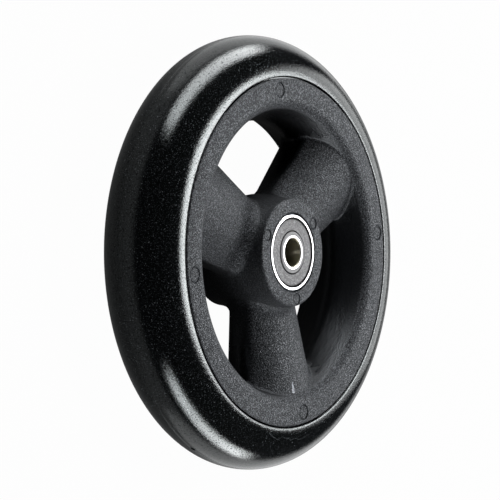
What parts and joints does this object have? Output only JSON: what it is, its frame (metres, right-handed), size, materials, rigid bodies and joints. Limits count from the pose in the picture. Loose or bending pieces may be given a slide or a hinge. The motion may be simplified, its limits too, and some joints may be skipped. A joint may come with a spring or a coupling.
{
  "type": "castor wheel",
  "caption": "Castor wheel with a solid round-section tyre on a moulded three-spoke hub, turning on shielded ball bearings.",
  "frame": {"origin": "centre of the wheel, on the axle's line at mid width", "axes": "+Z along the axle, out of the side with the ejector pin marks; +X along one spoke; the wheel lies on its side"},
  "size_m": [0.125, 0.125, 0.025],
  "materials": {
    "tyre": "satin",
    "hub": "matte",
    "bearing_ring": "polished",
    "shield": "satin",
    "ball": "polished",
    "cage": "matte",
    "spacer": "satin"
  },
  "bodies": {
    "axle_set": {"spacer_sleeve": "spacer", "front_inner_ring": "bearing_ring", "rear_inner_ring": "bearing_ring"},
    "wheel": {"tyre": "tyre", "wheel_hub": "hub", "front_outer_ring": "bearing_ring", "rear_outer_ring": "bearing_ring", "front_outer_shield": "shield", "front_inner_shield": "shield", "rear_outer_shield": "shield", "rear_inner_shield": "shield"},
    "front_ball_set": {"front_ball_cage": "cage", "front_ball_1": "ball", "front_ball_2": "ball", "front_ball_3": "ball", "front_ball_4": "ball", "front_ball_5": "ball", "front_ball_6": "ball", "front_ball_7": "ball"},
    "rear_ball_set": {"rear_ball_cage": "cage", "rear_ball_1": "ball", "rear_ball_2": "ball", "rear_ball_3": "ball", "rear_ball_4": "ball", "rear_ball_5": "ball", "rear_ball_6": "ball", "rear_ball_7": "ball"}
  },
  "joints": [
    {"name": "wheel_spin", "type": "hinge", "parent": "axle_set", "child": "wheel", "pos_m": [0, 0, 0], "axis": [0, 0, 1], "continuous": true},
    {"name": "front_balls_roll", "type": "hinge", "parent": "axle_set", "child": "front_ball_set", "pos_m": [0, 0, 0.009], "axis": [0, 0, 1], "continuous": true},
    {"name": "rear_balls_roll", "type": "hinge", "parent": "axle_set", "child": "rear_ball_set", "pos_m": [0, 0, -0.009], "axis": [0, 0, 1], "continuous": true}
  ],
  "couplings": [
    {"joint": "front_balls_roll", "follows": "wheel_spin", "ratio": 0.6323},
    {"joint": "rear_balls_roll", "follows": "wheel_spin", "ratio": 0.6323}
  ]
}
